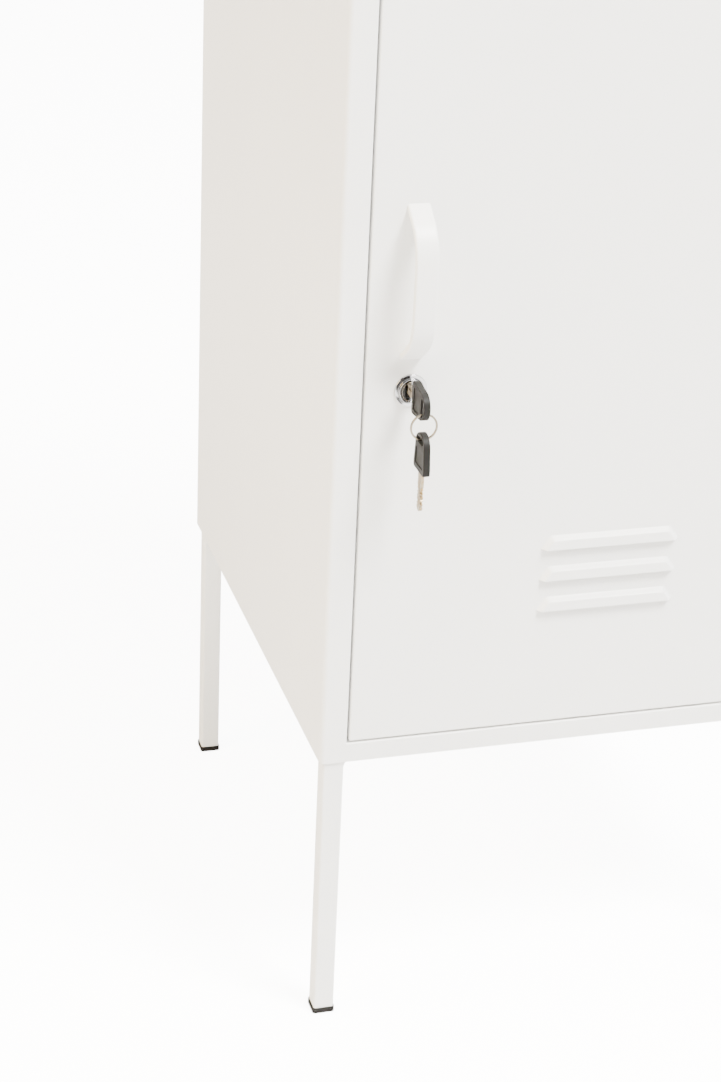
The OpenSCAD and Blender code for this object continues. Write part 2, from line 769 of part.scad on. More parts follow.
module lock_plug() {
    slot_h = blade_w + 2 * blade_clear;
    slot_x = blade_t + 2 * blade_clear;
    blade_end = head_y + blade_len;
    square_side = plug_d * 0.6;
    color(chrome) place() difference() {
        union() {
            rod_y(lock_x, plug_face, lock_z, plug_d / 2, cam_y - plug_face - 0.2);
            translate([lock_x - square_side / 2, cam_y - 0.3, lock_z - square_side / 2])
                cube([square_side, cam_t + 0.3, square_side]);
        }
        translate([lock_x - slot_x / 2, plug_face - 1, lock_z - slot_h / 2])
            cube([slot_x, blade_end + 0.3 - plug_face + 1, slot_h]);
        rod_y(lock_x, cam_y - 1, lock_z, cam_screw_d / 2 + fit_clear, 10);
    }
}

// points down while the door is free, and turns behind the stop lip
module lock_cam() {
    hole = plug_d * 0.6 + 2 * fit_clear;
    color(steel) place() difference() {
        union() {
            rod_y(lock_x, cam_y, lock_z, cam_end_r + 2, cam_t);
            translate([lock_x - cam_w / 2, cam_y, lock_z - cam_len + cam_end_r])
                cube([cam_w, cam_t, cam_len - cam_end_r]);
            rod_y(lock_x, cam_y, lock_z - cam_len + cam_end_r, cam_end_r, cam_t);
        }
        translate([lock_x - hole / 2, cam_y - 1, lock_z - hole / 2]) cube([hole, cam_t + 2, hole]);
    }
}

module cam_screw() {
    head_r = 6;
    head_h = 2.6;
    color(steel) place() difference() {
        union() {
            rod_y(lock_x, cam_y - 0.6, lock_z, cam_screw_d / 2, cam_t + 1);
            rod_y(lock_x, cam_y + cam_t, lock_z, head_r, head_h);
        }
        translate([lock_x, cam_y + cam_t + head_h - 1, lock_z]) cross_recess(8, 1.2);
    }
}

// ---- keys ----
// A key is drawn flat: its length along Y with the head's round end at +Y, its width along X and
// the start of the head at the origin.
module head_outline() {
    side = head_w / 2;
    chamfer = 1.5;
    shoulder = 4;
    end_at = head_len - head_end_r;
    translate([0, end_at]) circle(r = head_end_r);
    polygon([[chamfer - side, 0], [side - chamfer, 0], [side, chamfer], [side, shoulder],
        [head_end_r, end_at], [-head_end_r, end_at], [-side, shoulder], [-side, chamfer]]);
}

module ring_slot() {
    r = slot_w / 2;
    for (s = [-1, 1]) translate([s * (slot_len / 2 - r), slot_at]) circle(r = r);
    translate([r - slot_len / 2, slot_at - r]) square([slot_len - slot_w, slot_w]);
}

module flat_head() {
    pocket_t = blade_t + 2 * blade_clear;
    panel_deep = 0.6;
    panel_len = 11;
    panel_w = 2 * head_end_r - 4;
    difference() {
        translate([0, 0, -head_t / 2]) linear_extrude(head_t) difference() {
            head_outline();
            ring_slot();
        }
        for (z = [head_t / 2 - panel_deep, -head_t / 2 - 1])
            translate([-panel_w / 2, 4, z]) cube([panel_w, panel_len, panel_deep + 1]);
        translate([-blade_w / 2 - blade_clear, -1, -pocket_t / 2])
            cube([blade_w + 2 * blade_clear, tang_len + 1 + blade_clear, pocket_t]);
    }
}

// the blade has a rounded tip, a milled groove on each face and cuts along both edges
module flat_blade() {
    depths = [0.9, 1.5, 0.6, 1.2, 1.6, 0.8];
    cut_pitch = 2.6;
    groove_w = 0.8;
    groove_deep = 0.5;
    difference() {
        translate([0, 0, -blade_t / 2]) linear_extrude(blade_t) difference() {
            union() {
                translate([-blade_w / 2, blade_w / 2 - blade_len])
                    square([blade_w, blade_len + tang_len - blade_w / 2]);
                translate([0, blade_w / 2 - blade_len]) circle(d = blade_w);
            }
            for (i = [0 : len(depths) - 1], s = [-1, 1])
                translate([s * blade_w / 2, 4 - blade_len + i * cut_pitch])
                    polygon([[-s * depths[i], -0.4], [-s * depths[i], 0.4], [s, 1.6], [s, -1.6]]);
        }
        for (s = [-1, 1])
            mirror([0, 0, s > 0 ? 0 : 1])
                translate([s * 1.1 - groove_w / 2, 3 - blade_len, blade_t / 2 - groove_deep])
                    cube([groove_w, blade_len - 4, groove_deep + 1]);
    }
}

// the inserted key lies along Y with its flat upright
module in_lock() {
    place() translate([lock_x, head_y, lock_z]) rotate([0, 90, 0]) mirror([0, 1, 0]) children();
}

// the spare key hangs from the ring with its flat square to the door
module on_ring() {
    place() translate([lock_x, slot_y, spare_slot_z - slot_at]) rotate([90, 0, 90]) children();
}

module key_head() {
    color(black) in_lock() flat_head();
}

module key_blade() {
    color(nickel) in_lock() flat_blade();
}

module spare_key_head() {
    color(black) on_ring() flat_head();
}

module spare_key_blade() {
    color(nickel) on_ring() flat_blade();
}

module key_ring() {
    color(chrome) place() translate([lock_x, slot_y, ring_z]) rotate([90, 0, 0])
        rotate_extrude() translate([ring_r, 0]) circle(d = ring_wire_d, $fn = 24);
}

left_side_panel();
right_side_panel();
back_panel();
top_panel();
base_pan();
leg_socket(false, false);  // front_left_leg_socket
leg_socket(true, false);  // front_right_leg_socket
leg_socket(false, true);  // rear_left_leg_socket
leg_socket(true, true);  // rear_right_leg_socket
leg(false, false);  // front_left_leg
leg(true, false);  // front_right_leg
leg(false, true);  // rear_left_leg
leg(true, true);  // rear_right_leg
foot_cap(false, false);  // front_left_foot_cap
foot_cap(true, false);  // front_right_foot_cap
foot_cap(false, true);  // rear_left_foot_cap
foot_cap(true, true);  // rear_right_foot_cap
leg_inserts();
leg_bolts();
shelf_strip(false, false);  // front_left_shelf_strip
shelf_strip(true, false);  // front_right_shelf_strip
shelf_strip(false, true);  // rear_left_shelf_strip
shelf_strip(true, true);  // rear_right_shelf_strip
shelf_clips();
shelf(0);  // lower_shelf
shelf(1);  // upper_shelf
hinge_plate(body_h - rail_h + sheet_t);  // upper_hinge_plate
hinge_plate(rail_h - sheet_t - hinge_plate_t);  // lower_hinge_plate
hinge_pin(body_h - rail_h, -1);  // upper_hinge_pin
hinge_pin(rail_h, 1);  // lower_hinge_pin
door_bumpers();
door_skin();
door_stiffener();
hinge_bush(door_z + door_h, -1);  // upper_hinge_bush
hinge_bush(door_z, 1);  // lower_hinge_bush
handle();
handle_screws();
lock_barrel();
lock_nut();
lock_plug();
lock_cam();
cam_screw();
key_blade();
key_head();
key_ring();
spare_key_head();
spare_key_blade();
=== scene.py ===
# %% [markdown]
# # A locker cabinet
# A small steel locker on four square legs: a folded body, one louvred door, a bow handle, and a
# cam lock with a key in it and a spare key on a split ring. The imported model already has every
# piece at its real size. This lesson gives each piece the edges, bends and finish that sheet
# metal, chrome and moulded plastic have, and never moves or resizes what the model fixes.

# %% Load the frame
import json
import math

import bmesh
import bpy
from mathutils import Matrix, Vector

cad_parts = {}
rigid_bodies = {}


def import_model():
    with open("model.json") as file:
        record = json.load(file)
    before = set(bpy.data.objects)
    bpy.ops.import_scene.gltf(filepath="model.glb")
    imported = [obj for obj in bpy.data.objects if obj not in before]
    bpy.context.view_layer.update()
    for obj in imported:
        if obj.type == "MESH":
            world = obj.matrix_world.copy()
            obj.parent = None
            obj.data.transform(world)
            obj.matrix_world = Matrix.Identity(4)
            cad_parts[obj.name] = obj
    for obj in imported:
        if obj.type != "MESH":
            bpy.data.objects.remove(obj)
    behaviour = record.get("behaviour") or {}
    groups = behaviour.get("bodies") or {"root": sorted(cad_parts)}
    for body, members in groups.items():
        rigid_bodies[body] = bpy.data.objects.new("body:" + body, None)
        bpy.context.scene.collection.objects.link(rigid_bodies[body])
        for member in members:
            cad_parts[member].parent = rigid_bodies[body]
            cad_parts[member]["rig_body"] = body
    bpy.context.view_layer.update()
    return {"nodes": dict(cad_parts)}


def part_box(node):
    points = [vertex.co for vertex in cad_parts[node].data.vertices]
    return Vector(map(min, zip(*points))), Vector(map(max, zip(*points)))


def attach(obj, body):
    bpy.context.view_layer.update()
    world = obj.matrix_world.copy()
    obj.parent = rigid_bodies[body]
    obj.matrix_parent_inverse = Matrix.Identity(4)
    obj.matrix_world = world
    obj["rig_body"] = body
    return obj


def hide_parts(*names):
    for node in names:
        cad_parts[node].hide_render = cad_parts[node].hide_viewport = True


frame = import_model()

MM = 0.001
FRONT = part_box("left_side_panel")[0].y
FLOOR_TO_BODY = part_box("left_side_panel")[0].z

# %% [markdown]
# ## The camera
# A camera is a position, a direction and a lens. Its matrix has four columns: the way that is
# right, the way that is up, the way that is backwards, and the place. Writing the matrix from
# three angles keeps them readable, and the lens is given for a 36 mm wide sensor.

# %% Camera
CAMERA_PLACE = Vector((-0.5912, -1.5381, 1.0527))
LENS = 77.79
yaw, pitch, roll = math.radians(16.87), math.radians(25.25), math.radians(-2.60)
ahead = Vector((math.sin(yaw) * math.cos(pitch), math.cos(yaw) * math.cos(pitch),
                -math.sin(pitch)))
level = Vector((math.cos(yaw), -math.sin(yaw), 0))
down = -level.cross(ahead)
right = math.cos(roll) * level + math.sin(roll) * down
lower = math.cos(roll) * down - math.sin(roll) * level
camera = bpy.data.objects.new("camera", bpy.data.cameras.new("camera"))
camera.matrix_world = Matrix((
    (right.x, -lower.x, -ahead.x, CAMERA_PLACE.x),
    (right.y, -lower.y, -ahead.y, CAMERA_PLACE.y),
    (right.z, -lower.z, -ahead.z, CAMERA_PLACE.z),
    (0, 0, 0, 1)))
camera.data.lens = LENS
camera.data.sensor_width = 36
bpy.context.scene.collection.objects.link(camera)
bpy.context.scene.camera = camera
print("camera looks along", [round(v, 3) for v in ahead])

# %% [markdown]
# ## Writing nodes as sums
# Node trees are easier to read as sums than as wiring. `Value` wraps one socket, and its
# operators add Math nodes, so `1 - mask * 0.5` builds what it says. `Graph.node` makes any other
# node from its type, its settings and its sockets. The same two classes serve materials and
# Geometry Nodes, because both kinds of tree share the Math node.

# %% Value and Graph
class Value:
    """One socket of a node tree. Sums on it add Math nodes."""

    def __init__(self, graph, socket):
        self.graph = graph
        self.socket = socket

    def math(self, operation, *operands):
        return self.graph.node("ShaderNodeMath", {"operation": operation},
                               dict(enumerate(operands)))

    def __add__(self, other):
        return self.math("ADD", self, other)

    def __radd__(self, other):
        return self.math("ADD", other, self)

    def __sub__(self, other):
        return self.math("SUBTRACT", self, other)

    def __rsub__(self, other):
        return self.math("SUBTRACT", other, self)

    def __mul__(self, other):
        return self.math("MULTIPLY", self, other)

    def __rmul__(self, other):
        return self.math("MULTIPLY", other, self)

    def __truediv__(self, other):
        return self.math("DIVIDE", self, other)

    def __rtruediv__(self, other):
        return self.math("DIVIDE", other, self)

    def __pow__(self, other):
        return self.math("POWER", self, other)

    def clamped(self):
        """Kept between 0 and 1."""
        return self.math("MINIMUM", self.math("MAXIMUM", self, 0.0), 1.0)


class Graph:
    """A node tree that is being built."""

    def __init__(self, tree):
        self.tree = tree
        self.tree.nodes.clear()

    def node(self, kind, settings=None, sockets=None, out=0):
        made = self.tree.nodes.new(kind)
        for name, value in (settings or {}).items():
            if name == "stops":
                ramp = made.color_ramp.elements
                while len(ramp) < len(value):
                    ramp.new(0.5)
                for stop, (at, shade) in zip(ramp, value):
                    stop.position = at
                    stop.color = (shade, shade, shade, 1)
            else:
                setattr(made, name, value)
        for name, value in (sockets or {}).items():
            if isinstance(value, Value):
                self.tree.links.new(value.socket, made.inputs[name])
            else:
                made.inputs[name].default_value = value
        return Value(self, made.outputs[out]) if made.outputs else None


print("node classes ready")

# %% [markdown]
# ## One class for finishes
# Every finish here is one Principled shader with a few masks. `Finish` adds the handful of things
# that finishes share: noise at a size in metres, a mix of two colours, and a bump whose height is
# a real height. Object coordinates are in metres because every piece sits at the origin, so a
# noise of scale 900 has grains of about a millimetre.

# %% Finish
class Finish(Graph):
    """A material whose pattern is measured in metres on the piece."""

    def __init__(self, name):
        self.material = bpy.data.materials.new(name)
        self.material.use_nodes = True
        super().__init__(self.material.node_tree)
        self.place = self.node("ShaderNodeTexCoord", out="Object")

    def stretched(self, scale):
        return self.node("ShaderNodeMapping", {"vector_type": "POINT"},
                         {"Vector": self.place, "Scale": scale})

    def noise(self, scale, detail=2.0, vector=None, roughness=0.5):
        return self.node("ShaderNodeTexNoise", {"noise_dimensions": "3D"},
                         {"Vector": vector or self.place, "Scale": scale, "Detail": detail,
                          "Roughness": roughness})

    def ramp(self, value, stops):
        return self.node("ShaderNodeValToRGB", {"stops": stops}, {"Fac": value})

    def mix(self, factor, first, second):
        return self.node("ShaderNodeMix", {"data_type": "RGBA"},
                         {0: factor, 6: first, 7: second}, out=2)

    def bump(self, height, metres, strength=1.0, normal=None):
        sockets = {"Strength": strength, "Distance": metres, "Height": height}
        if normal is not None:
            sockets["Normal"] = normal
        return self.node("ShaderNodeBump", None, sockets)

    def axes(self):
        parts = self.tree.nodes.new("ShaderNodeSeparateXYZ")
        self.tree.links.new(self.place.socket, parts.inputs[0])
        return [Value(self, parts.outputs[i]) for i in range(3)]

    def shade(self, **sockets):
        named = {name.replace("_", " "): value for name, value in sockets.items()}
        shader = self.node("ShaderNodeBsdfPrincipled", None, named)
        self.node("ShaderNodeOutputMaterial", None, {"Surface": shader})
        print("finish", self.material.name, "with", len(self.tree.nodes), "nodes")
        return self.material


print("finish class ready")

# %% [markdown]
# ## Powder-coated steel
# Powder melts into a skin about a tenth of a millimetre thick. It stays very slightly rippled,
# like orange peel, because it stiffens before it is quite level. The ripple here is two noises, a
# soft one of about 3 mm and a fine one under 1 mm. The tone drifts a little over a hand's width,
# and the gloss drifts with it, as a coat that is thicker in some places does.

# %% Powder coat
coat = Finish("powder_coat")
drift = coat.noise(7.0, 2.0)
film = coat.noise(45.0, 3.0)
peel_soft = coat.noise(330.0, 1.5)
peel_fine = coat.noise(1100.0, 2.0)
speck = coat.ramp(coat.noise(520.0, 0.0), [(0.0, 0.0), (0.77, 0.0), (0.83, 1.0), (1.0, 1.0)])
tone = drift * 0.7 + film * 0.3
coat_colour = coat.mix(tone, (0.795, 0.79, 0.765, 1), (0.845, 0.84, 0.82, 1))
coat_colour = coat.mix(speck * 0.10, coat_colour, (0.62, 0.61, 0.58, 1))
peel = coat.bump(peel_soft, 0.00006, 0.5)
peel = coat.bump(peel_fine, 0.000018, 0.5, normal=peel)
POWDER_COAT = coat.shade(Base_Color=coat_colour, Roughness=0.34 + film * 0.10, Normal=peel,
                         IOR=1.5, Specular_IOR_Level=0.5)

# %% [markdown]
# ## Chrome, spring steel and zinc plate
# Bright metals differ in how they blur what they reflect. Chrome on the lock is polished, with
# only hairlines and a film of fingerprints. The ring is drawn wire, so its hairlines run along
# it. Zinc plate is dull and mottled by its passivation, slightly blue and yellow. Two marks lie on
# the chrome: a short black index line painted on the flange, and a thin dark ring of painted
# shade in the step round the raised ring. Both are masks made from the distance to the lock's
# axis.

# %% Bright metals
LOCK_AXIS = (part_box("lock_barrel")[0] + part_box("lock_barrel")[1]) / 2
LOCK_STEP = 8.7 * MM
MARK_TURN = math.radians(-38)
MARK_HALF_WIDTH = 1.1 * MM
MARK_START = 8.8 * MM
FLANGE_FACE = 0.9 * MM
CRISP = 9000.0
chrome = Finish("chrome_plate")
hairline = chrome.noise(260.0, 4.0, chrome.stretched((1.0, 1.0, 14.0)))
smudge = chrome.ramp(chrome.noise(90.0, 3.0), [(0.0, 0.0), (0.45, 0.0), (0.75, 1.0), (1.0, 1.0)])
x, y, z = chrome.axes()
out_x, out_z = x - LOCK_AXIS.x, z - LOCK_AXIS.z
radius = (out_x * out_x + out_z * out_z) ** 0.5
along = out_x * math.sin(MARK_TURN) + out_z * math.cos(MARK_TURN)
across = out_x * math.cos(MARK_TURN) - out_z * math.sin(MARK_TURN)
mark = ((MARK_HALF_WIDTH - across.math("ABSOLUTE", across)) * CRISP).clamped()
mark = mark * ((radius - MARK_START) * CRISP).clamped() * ((along - MM) * CRISP).clamped()
mark = mark * ((FRONT - FLANGE_FACE - y) * CRISP).clamped()
# Painted shade: a thin dark ring mixed into the chrome colour where the step round the raised ring
# falls into shadow.
from_step = radius - LOCK_STEP
painted_step_shade = (1.0 - from_step.math("ABSOLUTE", from_step) * 1500.0).clamped() * 0.75
chrome_and_step_shade = chrome.mix(painted_step_shade, (0.50, 0.50, 0.51, 1), (0.10, 0.10, 0.10, 1))
CHROME = chrome.shade(
    Base_Color=chrome.mix(mark, chrome_and_step_shade, (0.01, 0.01, 0.01, 1)),
    Metallic=1.0 - mark, Roughness=0.07 + smudge * 0.08 + hairline * 0.05 + mark * 0.3,
    Normal=chrome.bump(hairline, 0.000004, 0.4))

wire = Finish("spring_steel")
drawn = wire.noise(700.0, 3.0, wire.stretched((1.0, 6.0, 1.0)))
tarnish = wire.noise(160.0, 2.0)
SPRING_STEEL = wire.shade(
    Base_Color=wire.mix(tarnish, (0.16, 0.135, 0.10, 1), (0.28, 0.245, 0.19, 1)),
    Metallic=1.0, Roughness=0.12 + drawn * 0.14, Normal=wire.bump(drawn, 0.00001, 0.4))

zinc = Finish("zinc_plate")
mottle = zinc.noise(120.0, 4.0, roughness=0.6)
grain = zinc.noise(900.0, 2.0)
ZINC = zinc.shade(
    Base_Color=zinc.mix(mottle, (0.50, 0.52, 0.56, 1), (0.66, 0.65, 0.60, 1)),
    Metallic=1.0, Roughness=0.26 + mottle * 0.22, Normal=zinc.bump(grain, 0.00002, 0.5))

# %% [markdown]
# ## Keys
# A key blank is nickel-plated brass. Cutting it and turning it in a lock wears the plate, so
# brass shows through in patches. Milling leaves fine lines along the blade. The head is a hard
# black plastic with a faintly sparked surface, which scatters light just enough to look satin.

# %% Key metals and plastics
blank = Finish("nickel_brass")
worn = blank.ramp(blank.noise(300.0, 3.0), [(0.0, 0.0), (0.42, 0.0), (0.62, 1.0), (1.0, 1.0)])
milled = blank.noise(900.0, 3.0, blank.stretched((4.0, 4.0, 0.4)))
NICKEL_BRASS = blank.shade(
    Base_Color=blank.mix(worn, (0.31, 0.26, 0.18, 1), (0.27, 0.19, 0.09, 1)),
    Metallic=1.0, Roughness=0.20 + milled * 0.16, Normal=blank.bump(milled, 0.00002, 0.6))

plastic = Finish("black_plastic")
spark = plastic.noise(2600.0, 2.0)
handled = plastic.noise(110.0, 2.0)
BLACK_PLASTIC = plastic.shade(
    Base_Color=plastic.mix(handled, (0.006, 0.0055, 0.005, 1), (0.012, 0.011, 0.010, 1)),
    Roughness=0.42 + handled * 0.16, Normal=plastic.bump(spark, 0.00003, 0.45), IOR=1.45,
    Specular_IOR_Level=0.14)

bush = Finish("nylon")
cloud = bush.noise(140.0, 2.0)
NYLON = bush.shade(Base_Color=bush.mix(cloud, (0.74, 0.73, 0.68, 1), (0.80, 0.79, 0.75, 1)),
                   Roughness=0.42 + cloud * 0.1, Normal=bush.bump(cloud, 0.00004, 0.3))

soft = Finish("rubber")
bloom = soft.noise(400.0, 3.0)
RUBBER = soft.shade(Base_Color=soft.mix(bloom, (0.018, 0.018, 0.018, 1),
                                        (0.035, 0.034, 0.033, 1)),
                    Roughness=0.72 + bloom * 0.15, Normal=soft.bump(bloom, 0.00003, 0.4))

FINISHES = {"painted_steel": POWDER_COAT, "chrome": CHROME, "ring_steel": SPRING_STEEL,
            "zinc_steel": ZINC, "nickel_brass": NICKEL_BRASS, "black_plastic": BLACK_PLASTIC,
            "nylon": NYLON, "rubber": RUBBER}
print("finishes", sorted(FINISHES))

# %% [markdown]
# ## Helpers for pieces
# A node's material name is its slot in the record, and its custom property says which body it
# rides on, so a finished copy can look both up. `plain` turns an object with modifiers into a
# mesh without them. `shown` makes the object that stands for one or more nodes.

# %% Piece helpers
def slot_of(node):
    name = frame["nodes"][node].data.materials[0].name
    return next(slot for slot in FINISHES if name.startswith(slot))


def link(name, mesh):
    obj = bpy.data.objects.new(name, mesh)
    bpy.context.scene.collection.objects.link(obj)
    return obj


def plain(obj):
    """The object's mesh with its modifiers worked in. The object itself is removed."""
    depsgraph = bpy.context.evaluated_depsgraph_get()
    mesh = bpy.data.meshes.new_from_object(obj.evaluated_get(depsgraph), depsgraph=depsgraph)
    bpy.data.objects.remove(obj)
    return mesh


def smooth_by_angle(mesh, degrees):
    """Shades smooth, with edges sharper than the angle kept crisp."""
    bm = bmesh.new()
    bm.from_mesh(mesh)
    for edge in bm.edges:
        edge.smooth = len(edge.link_faces) == 2 and edge.calc_face_angle() < math.radians(degrees)
    for face in bm.faces:
        face.smooth = True
    bm.to_mesh(mesh)
    bm.free()


def shown(name, mesh, body, slot, nodes):
    """The visible piece that stands for these nodes."""
    mesh.materials.clear()
    mesh.materials.append(FINISHES[slot])
    obj = link(name, mesh)
    weigh = obj.modifiers.new("even_shading", "WEIGHTED_NORMAL")
    weigh.keep_sharp = True
    weigh.weight = 100
    mesh = plain(obj)
    mesh.name = name
    obj = link(name, mesh)
    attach(obj, body)
    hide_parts(*nodes)
    return obj


print("helpers ready")

# %% [markdown]
# ## Broken edges
# No real edge is perfectly sharp: paint pulls back from it and plating rounds it, and the thin
# bright line that this leaves is what makes an object look solid. `softened` copies a node, merges
# its loose triangles, joins the flat ones into whole faces and bevels every edge that is sharper
# than the bends. `width` is the same for every edge. `corner` instead gives each edge its own
# width, or none where two sheets are welded and ground flush.

# %% Softened copies
def node_bmesh(node):
    bm = bmesh.new()
    bm.from_mesh(frame["nodes"][node].data)
    bmesh.ops.remove_doubles(bm, verts=bm.verts, dist=2e-6)
    return bm


def softened(node, width=0.12 * MM, segments=2, sharp=38, corner=None):
    """Shows a bevelled copy of a node. corner gives each edge its own width."""
    bm = node_bmesh(node)
    bmesh.ops.dissolve_limit(bm, angle_limit=math.radians(0.4), verts=bm.verts, edges=bm.edges,
                             delimit={"NORMAL"})
    weight = bm.edges.layers.float.new("bevel_weight_edge")
    widest = 0
    for edge in bm.edges:
        if len(edge.link_faces) == 2 and edge.calc_face_angle() > math.radians(sharp):
            middle = (edge.verts[0].co + edge.verts[1].co) / 2
            edge[weight] = corner(edge, middle) if corner else width
            widest = max(widest, edge[weight])
    for edge in bm.edges:
        edge[weight] = edge[weight] / widest if widest else 0
    mesh = bpy.data.meshes.new(node)
    bm.to_mesh(mesh)
    bm.free()
    obj = link(node + "_work", mesh)
    bevel = obj.modifiers.new("broken_edges", "BEVEL")
    bevel.width = widest
    bevel.segments = segments
    bevel.limit_method = "WEIGHT"
    bevel.use_clamp_overlap = True
    bevel.miter_outer = "MITER_ARC"
    mesh = plain(obj)
    smooth_by_angle(mesh, 44)
    body = frame["nodes"][node]["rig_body"]
    return shown(node + "_finished", mesh, body, slot_of(node), [node])


print("softened() ready")

# %% [markdown]
# ## The body's sheets
# The side panels wrap round to make the stiles, and the rails of the top and the base lie between
# them. On the real body the joints at the front are welded, ground and painted over, so no line
# shows there. The edges along those joints get no bevel, and all the others get the slight round
# of a painted sheet.

# %% Body panels
STILE = 19 * MM
STILE_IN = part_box("left_side_panel")[0].x + STILE


def flush_joint(edge, middle):
    """No bevel where a stile meets a rail on the front face."""
    on_joint = abs(abs(middle.x) - abs(STILE_IN)) < 0.05 * MM and middle.y < FRONT + 3 * MM
    upright = abs(edge.verts[0].co.x - edge.verts[1].co.x) < 0.02 * MM
    return 0.0 if on_joint and upright else 0.13 * MM


for node in ("left_side_panel", "right_side_panel", "top_panel", "base_pan"):
    softened(node, corner=flush_joint)
softened("back_panel")
print("panels softened")

# %% [markdown]
# ## The door: a blank, then a press
# The door is one sheet. A workshop shears it, cuts a slit for each louvre, presses the louvres
# out, and folds the four edges back. The lesson does the same. Python lays out the blank as a grid
# with fine lines where the louvres and the bends come, and splits the grid along each slit. A
# Geometry Nodes tree then presses the louvres, because their shape is one rule: how far a point
# stands out depends on how far it is inside the louvre's outline.

# %% The door's blank
DOOR_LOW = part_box("door_skin")[0]
DOOR_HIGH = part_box("door_skin")[1]
SHEET = 0.8 * MM
FOLD_R = 1.2 * MM
FOLD_DEPTH = 16 * MM
LIP = 12 * MM
LOUVRE_UP = 106.4 * MM
LOUVRE_PITCH = 23.5 * MM
LOUVRE = {"length": 102 * MM, "height": 10 * MM, "out": 4.2 * MM, "taper": 7 * MM}
BODY_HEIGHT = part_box("left_side_panel")[1].z - FLOOR_TO_BODY
low_group = FLOOR_TO_BODY + LOUVRE_UP
high_group = FLOOR_TO_BODY + BODY_HEIGHT - LOUVRE_UP - 2 * LOUVRE_PITCH - LOUVRE["height"]
SLITS = [start + k * LOUVRE_PITCH for start in (low_group, high_group) for k in range(3)]


def spread(start, end, step):
    """Evenly spaced lines from start to end, about a step apart, without the end itself."""
    count = max(1, round((end - start) / step))
    return [start + (end - start) * i / count for i in range(count)]


COARSE = 14 * MM
MARGIN = 2 * MM
END_ZONE = 16 * MM
half = LOUVRE["length"] / 2
face_x = (spread(DOOR_LOW.x + FOLD_R, -half - MARGIN, COARSE) + spread(-half - MARGIN, -half, MM)
          + spread(-half, END_ZONE - half, 0.9 * MM)
          + spread(END_ZONE - half, half - END_ZONE, 5 * MM)
          + spread(half - END_ZONE, half, 0.9 * MM) + spread(half, half + MARGIN, MM)
          + spread(half + MARGIN, DOOR_HIGH.x - FOLD_R, COARSE) + [DOOR_HIGH.x - FOLD_R])
face_z = [DOOR_LOW.z + FOLD_R]
for slit in sorted(SLITS):
    face_z += spread(face_z[-1], slit - 1.5 * MM, COARSE)[1:] + [slit - 1.5 * MM]
    face_z += spread(slit, slit + LOUVRE["height"], 0.6 * MM) + [slit + LOUVRE["height"]]
face_z += spread(face_z[-1], DOOR_HIGH.z - FOLD_R, COARSE)[1:] + [DOOR_HIGH.z - FOLD_R]
print("blank lines", len(face_x), "across and", len(face_z), "up")

# %% [markdown]
# Each line of the grid knows where it is on the fold: on the face, part of the way round a bend,
# or back along a return. Where two bends meet at a corner, the two angles together give a small
# ball-shaped corner, as a corner that is welded and ground has.

# %% Fold and split the blank
def stations(flat, with_lip):
    """Lines across the door: (position on the face, quarter turns, side, depth, how far in)."""
    rows = []
    tail = [(FOLD_R, 0.0), (5 * MM, 0.0), (10 * MM, 0.0), (FOLD_DEPTH - FOLD_R, 0.0)]
    if with_lip:
        for i in range(1, 5):
            turn = i / 4 * math.pi / 2
            tail.append((FOLD_DEPTH - FOLD_R + FOLD_R * math.sin(turn),
                         FOLD_R * (1 - math.cos(turn))))
        tail += [(FOLD_DEPTH, LIP / 2), (FOLD_DEPTH, LIP)]
    else:
        tail += [(FOLD_DEPTH, 0.0)]
    for depth, inward in reversed(tail[1:]):
        rows.append((flat[0], 1.0, -1, depth, inward))
    rows += [(flat[0], 1 - i / 6, -1, None, 0) for i in range(7)][:-1]
    rows += [(at, 0.0, 0, None, 0) for at in flat]
    rows += [(flat[-1], i / 6, 1, None, 0) for i in range(1, 7)]
    for depth, inward in tail[1:]:
        rows.append((flat[-1], 1.0, 1, depth, inward))
    return rows


def folded(col, row):
    """Where a crossing of two lines ends up, or None where the corner is cut away."""
    x, turn_x, side_x, deep_x, in_x = col
    z, turn_z, side_z, deep_z, in_z = row
    if deep_x is not None and (turn_z > 0 or deep_z is not None):
        return None
    a, b = turn_x * math.pi / 2, turn_z * math.pi / 2
    px = x + side_x * FOLD_R * math.sin(a)
    pz = z + side_z * FOLD_R * math.sin(b) * math.cos(a)
    py = FOLD_R - FOLD_R * math.cos(a) * math.cos(b)
    if deep_x is not None:
        px, py = px - side_x * in_x, deep_x
    if deep_z is not None:
        py = deep_z
    return Vector((px, FRONT + py, pz))


columns = stations(face_x, True)
rows = stations(face_z, False)
blank_bm = bmesh.new()
u_layer = blank_bm.verts.layers.float.new("louvre_u")
v_layer = blank_bm.verts.layers.float.new("louvre_v")
grid = {}
for i, col in enumerate(columns):
    for j, row in enumerate(rows):
        at = folded(col, row)
        if at is None:
            continue
        on_face = col[1] == 0 and row[1] == 0
        slit = next((s for s in SLITS if -0.01 * MM < row[0] - s < LOUVRE["height"]), None)
        low_copy = blank_bm.verts.new(at)
        low_copy[u_layer], low_copy[v_layer] = 1.0, 0.0
        grid[i, j, "below"] = grid[i, j, "above"] = low_copy
        if not on_face or slit is None:
            continue
        if abs(row[0] - slit) < 0.01 * MM and abs(col[0]) < half - 0.01 * MM:
            lifted = blank_bm.verts.new(at)
            grid[i, j, "above"] = lifted
        else:
            lifted = low_copy
        if not (abs(row[0] - slit) < 0.01 * MM and lifted is low_copy):
            lifted[u_layer], lifted[v_layer] = col[0], row[0] - slit
for i in range(len(columns) - 1):
    for j in range(len(rows) - 1):
        keys = [(i, j, "above"), (i, j + 1, "below"),
                (i + 1, j + 1, "below"), (i + 1, j, "above")]
        if all(key in grid for key in keys):
            blank_bm.faces.new([grid[key] for key in reversed(keys)])
print("blank has", len(blank_bm.faces), "faces and", len(SLITS), "slits")

